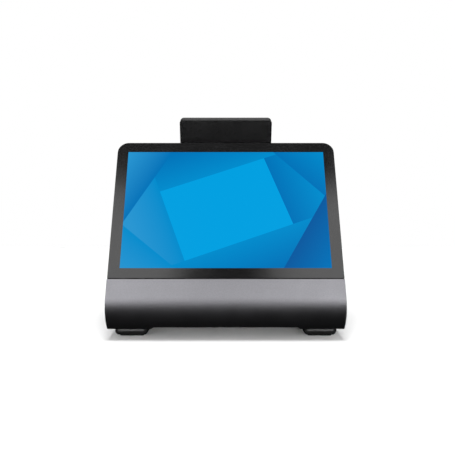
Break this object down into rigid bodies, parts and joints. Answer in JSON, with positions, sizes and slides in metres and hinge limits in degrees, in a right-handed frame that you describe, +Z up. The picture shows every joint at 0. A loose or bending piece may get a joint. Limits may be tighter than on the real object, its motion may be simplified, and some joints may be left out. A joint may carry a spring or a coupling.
{
  "type": "pos touchscreen terminal",
  "caption": "Countertop wedge terminal with a leaning touchscreen over a rolled metal chin, a rear port bay with a drop-down door and a tilting customer display behind.",
  "frame": {"origin": "middle of the footprint, on the counter that the foot pads stand on", "axes": "+X to the operator's right, +Y away from the operator towards the customer, +Z up"},
  "size_m": [0.24, 0.16, 0.2328],
  "materials": {
    "cover_glass": "polished, black border",
    "picture": "lit blue picture",
    "chin_metal": "satin metallic grey",
    "black_plastic": "fine moulded texture",
    "rubber": "matte",
    "bare_steel": "plated",
    "aluminium": "satin",
    "circuit_board": "solder mask",
    "port_black": "moulded",
    "flex_film": "polyimide film",
    "screw_black": "black zinc"
  },
  "bodies": {
    "terminal_body": {"front_glass": "cover_glass", "lcd_panel": "picture", "chin_cover": "chin_metal", "panel_frame": "black_plastic", "base_tray": "black_plastic", "rear_housing": "black_plastic", "foot_front_left": "black_plastic", "foot_front_right": "black_plastic", "foot_rear_left": "black_plastic", "foot_rear_right": "black_plastic", "display_bracket": "black_plastic", "foot_pad_front_left": "rubber", "foot_pad_front_right": "rubber", "foot_pad_rear_left": "rubber", "foot_pad_rear_right": "rubber", "lcd_back_plate": "bare_steel", "base_weight": "bare_steel", "port_bay": "bare_steel", "lock_plate": "bare_steel", "door_pin_left": "bare_steel", "door_pin_right": "bare_steel", "hinge_pin": "bare_steel", "hinge_washer_left": "bare_steel", "hinge_washer_right": "bare_steel", "ethernet_jack": "bare_steel", "usb_stack_outer": "bare_steel", "usb_stack_inner": "bare_steel", "usb_c_port": "bare_steel", "heatsink": "aluminium", "touch_board": "circuit_board", "main_board": "circuit_board", "switch_board": "circuit_board", "drawer_jack": "port_black", "dc_jack": "port_black", "speaker_left": "port_black", "speaker_right": "port_black", "customer_display_cable": "port_black", "antenna_left": "flex_film", "antenna_right": "flex_film", "lcd_flex": "flex_film", "base_screw_1": "screw_black", "base_screw_2": "screw_black", "base_screw_3": "screw_black", "base_screw_4": "screw_black", "bracket_screw_1": "screw_black", "bracket_screw_2": "screw_black", "bracket_screw_3": "screw_black", "bracket_screw_4": "screw_black"},
    "port_flap": {"port_door": "black_plastic"},
    "customer_display": {"customer_case": "black_plastic", "customer_glass": "cover_glass", "customer_lcd": "picture", "customer_board": "circuit_board"},
    "power_key": {"power_button": "black_plastic"},
    "volume_up_key": {"volume_up_button": "black_plastic"},
    "volume_down_key": {"volume_down_button": "black_plastic"}
  },
  "joints": [
    {"name": "port_door_hinge", "type": "hinge", "parent": "terminal_body", "child": "port_flap", "pos_m": [0, 0.07615, 0.03057], "axis": [-1, 0, 0], "range_deg": [0, 100]},
    {"name": "customer_display_tilt", "type": "hinge", "parent": "terminal_body", "child": "customer_display", "pos_m": [0, 0.04767, 0.16432], "axis": [-1, 0, 0], "range_deg": [-6, 30]},
    {"name": "power_button_press", "type": "slide", "parent": "terminal_body", "child": "power_key", "axis": [-1, 0, 0], "range_m": [0, 0.0008], "stiffness_N_per_m": 2000},
    {"name": "volume_up_press", "type": "slide", "parent": "terminal_body", "child": "volume_up_key", "axis": [-1, 0, 0], "range_m": [0, 0.0008], "stiffness_N_per_m": 2000},
    {"name": "volume_down_press", "type": "slide", "parent": "terminal_body", "child": "volume_down_key", "axis": [-1, 0, 0], "range_m": [0, 0.0008], "stiffness_N_per_m": 2000}
  ]
}
